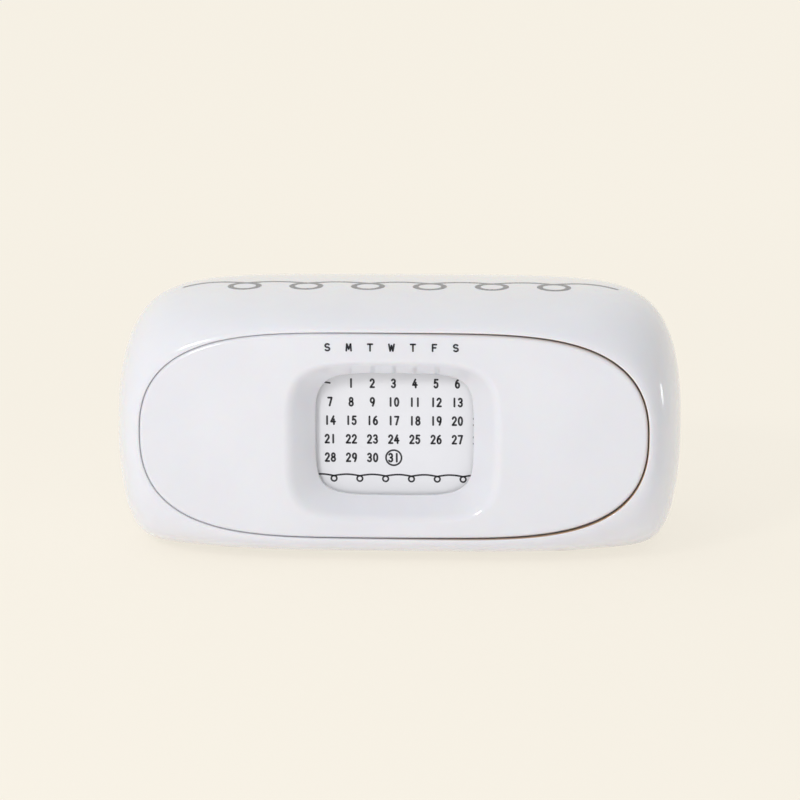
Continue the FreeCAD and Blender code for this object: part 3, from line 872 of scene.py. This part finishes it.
def build_screws(master, name, node, body, spots, out, metal):
    """Copies of the screw with their heads' tops at the spots, facing out."""
    bm = bmesh.new()
    turned = Vector((0, 0, 1)).rotation_difference(Vector(out)).to_matrix().to_4x4()
    for k, spot in enumerate(spots):
        copy = master.data.copy()
        twist = Matrix.Rotation(SCREW_TURN + SCREW_TURN_STEP * k, 4, "Z")
        copy.transform(Matrix.Translation(Vector(spot) * MM) @ turned @ twist)
        bm.from_mesh(copy)
        bpy.data.meshes.remove(copy)
    bmesh.ops.dissolve_degenerate(bm, dist=SAME_POINT * MM, edges=bm.edges)
    screws = mesh_object(name, bm)
    sharpen(screws, SCREW_EDGE)
    give(screws, body, "screw_steel", metal)
    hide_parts(node)


def build_foot(name, x, y, rubber_pad):
    """A round rubber pad with a ring round its tread and a rounded edge."""
    top = UNDERSIDE + FOOT_RECESS
    profile = [(0.02, 0.25), (1.2, 0.24), (1.5, 0.12), (2.0, 0.12), (2.3, 0.25), (3.6, 0.25),
               (3.9, 0.04), (4.1, 0.0), (5.9, 0.0), (6.2, 0.06), (6.42, 0.22), (FOOT_RADIUS, 0.45),
               (FOOT_RADIUS, top - 0.05), (FOOT_RADIUS - 0.05, top), (0.02, top)]
    rings = [circle(radius, (x, y, z), "z", FOOT_POINTS_ROUND) for radius, z in profile]
    bm = bmesh.new()
    add_rings(bm, rings, start_cap=True, end_cap=True)
    pad = mesh_object("rubber_" + name, bm)
    sharpen(pad, FOOT_EDGE)
    give(pad, "case", "foot_rubber", rubber_pad)
    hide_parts(name)


# ---------------------------------------------------------------- lamps, floor and backdrop

def lamp(name, place, target, size, power, lights=True):
    """A lamp that the camera doesn't see. Without lights it only shows in gloss."""
    light = bpy.data.lights.new(name, "AREA")
    light.shape = "RECTANGLE"
    light.size, light.size_y = size
    light.energy = power
    holder = bpy.data.objects.new(name, light)
    bpy.context.scene.collection.objects.link(holder)
    holder.location = place
    holder.rotation_euler = (Vector(target) - Vector(place)).to_track_quat("-Z", "Y").to_euler()
    holder.visible_camera = False
    holder.visible_diffuse = lights


def coloured(nodes, kind, colour, strength=None):
    """A node of this kind in this colour and strength."""
    node = nodes.new(kind)
    node.inputs["Color"].default_value = (*colour, 1)
    if strength is not None:
        node.inputs["Strength"].default_value = strength
    return node


def show(nodes, links, giving, seen, output):
    """Links the output to two shaders: the light that a surface gives, and how it is seen.

    It is seen by the camera, in gloss and through glass.
    """
    path = nodes.new("ShaderNodeLightPath")
    seen_ray = path.outputs["Is Camera Ray"]
    for kind in ("Is Glossy Ray", "Is Transmission Ray"):
        either = nodes.new("ShaderNodeMath")
        either.operation = "MAXIMUM"
        links.new(seen_ray, either.inputs[0])
        links.new(path.outputs[kind], either.inputs[1])
        seen_ray = either.outputs[0]
    both = nodes.new("ShaderNodeMixShader")
    links.new(seen_ray, both.inputs["Fac"])
    links.new(giving.outputs[0], both.inputs[1])
    links.new(seen.outputs[0], both.inputs[2])
    links.new(both.outputs["Shader"], nodes[output].inputs["Surface"])


def build_floor(seen, lit):
    """A flat floor that the camera sees in one even colour, with the object's shadow on it."""
    bm = bmesh.new()
    ticks = [-FLOOR_HALF + 2 * FLOOR_HALF * i / FLOOR_STEPS for i in range(FLOOR_STEPS + 1)]
    grid = [[bm.verts.new((x, y, FLOOR_LEVEL)) for y in ticks] for x in ticks]
    for left, right in zip(grid, grid[1:]):
        for j in range(FLOOR_STEPS):
            bm.faces.new((left[j], right[j], right[j + 1], left[j + 1]))
    floor = mesh_object("floor", bm)
    material = bpy.data.materials.new("pale_floor")
    material.use_nodes = True
    nodes, links = material.node_tree.nodes, material.node_tree.links
    nodes.remove(nodes["Principled BSDF"])
    card = coloured(nodes, "ShaderNodeBsdfDiffuse", lit)
    lift = coloured(nodes, "ShaderNodeEmission", lit, BOUNCE_GLOW)
    giving = nodes.new("ShaderNodeAddShader")
    links.new(card.outputs[0], giving.inputs[0])
    links.new(lift.outputs[0], giving.inputs[1])
    paper = coloured(nodes, "ShaderNodeBsdfDiffuse", seen)
    glow = coloured(nodes, "ShaderNodeEmission", seen)
    reach = nodes.new("ShaderNodeVectorMath")
    reach.operation = "DISTANCE"
    reach.inputs[1].default_value = GLOW_CENTRE
    links.new(nodes.new("ShaderNodeTexCoord").outputs["Object"], reach.inputs[0])
    strength = ramp(nodes, links, reach.outputs["Value"], (0, GLOW_REACH), (1, FAR_GLOW))
    links.new(strength, glow.inputs["Strength"])
    backdrop = nodes.new("ShaderNodeMixShader")
    backdrop.inputs["Fac"].default_value = BACKDROP_GLOW
    links.new(paper.outputs[0], backdrop.inputs[1])
    links.new(glow.outputs[0], backdrop.inputs[2])
    show(nodes, links, giving, backdrop, "Material Output")
    floor.data.materials.append(material)


def build_world(seen):
    """Even studio light, darker on the right, and the backdrop where rays go past the floor."""
    world = bpy.data.worlds.new("studio")
    bpy.context.scene.world = world
    world.use_nodes = True
    nodes, links = world.node_tree.nodes, world.node_tree.links
    sky = nodes["Background"]
    axes = nodes.new("ShaderNodeSeparateXYZ")
    links.new(nodes.new("ShaderNodeTexCoord").outputs["Generated"], axes.inputs["Vector"])
    above = ramp(nodes, links, axes.outputs["Z"], ROOM_HEIGHTS)
    links.new(blend_colours(nodes, links, above, ROOM_LOW, ROOM_HIGH), sky.inputs["Color"])
    strength = ramp(nodes, links, axes.outputs["X"], ROOM_SIDES, (ROOM_LEFT, ROOM_RIGHT))
    links.new(strength, sky.inputs["Strength"])
    backdrop = coloured(nodes, "ShaderNodeBackground", seen, FAR_LEVEL)
    show(nodes, links, sky, backdrop, "World Output")


# ---------------------------------------------------------------- scene

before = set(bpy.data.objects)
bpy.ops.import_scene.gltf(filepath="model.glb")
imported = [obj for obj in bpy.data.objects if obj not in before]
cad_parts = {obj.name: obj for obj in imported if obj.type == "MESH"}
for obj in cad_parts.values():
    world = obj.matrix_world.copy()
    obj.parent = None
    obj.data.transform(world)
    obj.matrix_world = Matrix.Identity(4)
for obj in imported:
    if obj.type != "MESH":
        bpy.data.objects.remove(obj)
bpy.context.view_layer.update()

gloss_white = moulded_plastic("gloss_white", (CASE_WHITE, (0.80, 0.796, 0.821)), rough=(0.07, 0.12),
                              grain=0.0012, grain_depth=0.0000012, wave_depth=0.00003, soak=0.4)
satin_white = moulded_plastic("satin_white", ((0.72, 0.715, 0.71), (0.76, 0.755, 0.75)),
                              rough=(0.38, 0.48), grain=0.0005, grain_depth=0.00001,
                              wave_depth=0.00003)
plate_white = moulded_plastic("plate_white", ((0.80, 0.80, 0.83), (0.82, 0.82, 0.845)),
                              rough=(0.3, 0.4), grain=0.0004, grain_depth=0.000002,
                              wave_depth=0.00001)
# warm brown painted shade for the seam between the case and the drawer front
painted_gap_shade = moulded_plastic("painted_gap_shade", ((0.47, 0.29, 0.16), (0.55, 0.36, 0.22)),
                              rough=(0.3, 0.45), grain=0.0012, grain_depth=0.000002,
                              wave_depth=0.00003)
# the painted seam shade fades to plain white towards the left end, where the seam shows lighter
clean_left(painted_gap_shade, CASE_WHITE, GAP_SHADE_LEFT)
black_ink = finish("black_ink", ((0.012, 0.012, 0.018), (0.03, 0.03, 0.04)), rough=(0.30, 0.43),
                   **INK_NOISES)
grey_ink = finish("grey_ink", ((0.16, 0.16, 0.18), (0.24, 0.24, 0.26)), rough=(0.25, 0.38),
                  **INK_NOISES)
foot_rubber = finish("foot_rubber", ((0.035, 0.033, 0.032), (0.07, 0.066, 0.062)),
                     cover=(0.004, 5), rough=(0.65, 0.9), smears=(0.0015, 3), skin=(0.0006, 3),
                     skin_depth=0.00005)
screw_steel = finish("screw_steel", ((0.50, 0.50, 0.50), (0.68, 0.67, 0.64)), cover=(0.0012, 4),
                     rough=(0.25, 0.42), smears=(0.0006, 3), skin=(0.0003, 2),
                     skin_depth=0.00001)
principled(screw_steel).inputs["Metallic"].default_value = 1.0

case_tree = build_case(gloss_white, satin_white, painted_gap_shade)
build_drawer_front(gloss_white, satin_white)
build_dates(black_ink)
build_weekdays(black_ink)
build_top_line(case_tree, grey_ink)

screw = build_screw()
base_spots = [(x, y, UNDERSIDE) for x in (-BOSS_X, BOSS_X) for y in (-BOSS_Y, BOSS_Y)]
build_screws(screw, "cross_screws_base", "base_screws", "case", base_spots, (0, 0, -1), screw_steel)
front_spots = [(x, FRONT_SCREW_Y, FRONT_CENTRE + z) for x in (-FRONT_BOSS_X, FRONT_BOSS_X)
               for z in (-FRONT_BOSS_Z, FRONT_BOSS_Z)]
build_screws(screw, "cross_screws_front", "front_screws", "drawer", front_spots, (0, 1, 0),
             screw_steel)
bpy.data.objects.remove(screw)
for name, x, y in (("foot_front_left", -FOOT_X, -FOOT_Y), ("foot_front_right", FOOT_X, -FOOT_Y),
                   ("foot_rear_left", -FOOT_X, FOOT_Y), ("foot_rear_right", FOOT_X, FOOT_Y)):
    build_foot(name, x, y, foot_rubber)

finishes = {"base_plate": satin_white, "drawer_tray": satin_white, "date_plate": plate_white}
for node, material in finishes.items():
    node_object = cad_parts[node]
    node_object.data.materials.clear()
    node_object.data.materials.append(material)

scene = bpy.context.scene
scene.view_settings.view_transform = "Standard"
build_world(BACKGROUND)
build_floor(BACKGROUND, BOUNCE)
lamp("key", place=(-0.45, -0.78, 0.60), target=(0, 0, 0.05), size=(0.18, 0.14), power=2.9)
lamp("strip", place=(0.545, 0.345, 0.04), target=(0.09, -0.045, 0.058), size=(0.012, 0.07),
     power=0.03, lights=False)

camera = bpy.data.objects.new("camera", bpy.data.cameras.new("camera"))
scene.collection.objects.link(camera)
away = Vector((math.sin(AZIMUTH) * math.cos(ELEVATION),
               -math.cos(AZIMUTH) * math.cos(ELEVATION), math.sin(ELEVATION)))
camera.location = AIM + away * DISTANCE
turned = (-away).to_track_quat("-Z", "Y").to_matrix() @ Matrix.Rotation(ROLL, 3, "Z")
camera.rotation_euler = turned.to_euler()
camera.data.lens = LENS
camera.data.sensor_width = SENSOR
camera.data.clip_start = CLIP_START
scene.camera = camera
